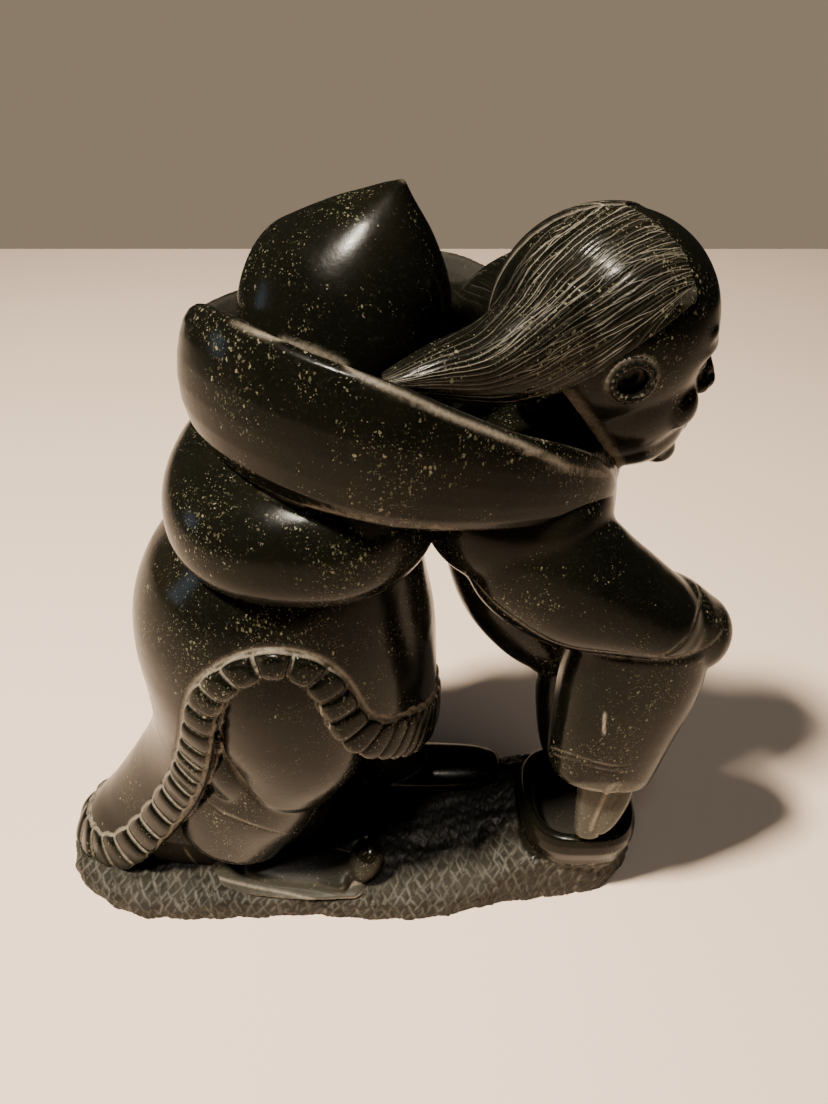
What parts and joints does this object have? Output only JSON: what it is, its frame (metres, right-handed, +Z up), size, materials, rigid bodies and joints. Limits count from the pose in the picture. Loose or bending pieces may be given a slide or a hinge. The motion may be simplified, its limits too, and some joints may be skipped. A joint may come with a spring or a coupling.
{
  "type": "stone mother and child sculpture",
  "caption": "Carved dark stone figure of a mother in a hooded parka bending to a shallow basin with her child in the hood, on a low uneven base.",
  "frame": {"origin": "middle of the flat underside's bounding box, on the surface that the carving stands on", "axes": "+X the way the mother faces, towards the basin; +Y from the side shown in the picture towards the far side; +Z up"},
  "size_m": [0.2756, 0.1164, 0.3004],
  "materials": {
    "polished_stone": "polished dark green-black stone with pale flecks, matte grey where it is gouged"
  },
  "bodies": {
    "root": {"mother_and_child": "polished_stone"}
  },
  "joints": []
}
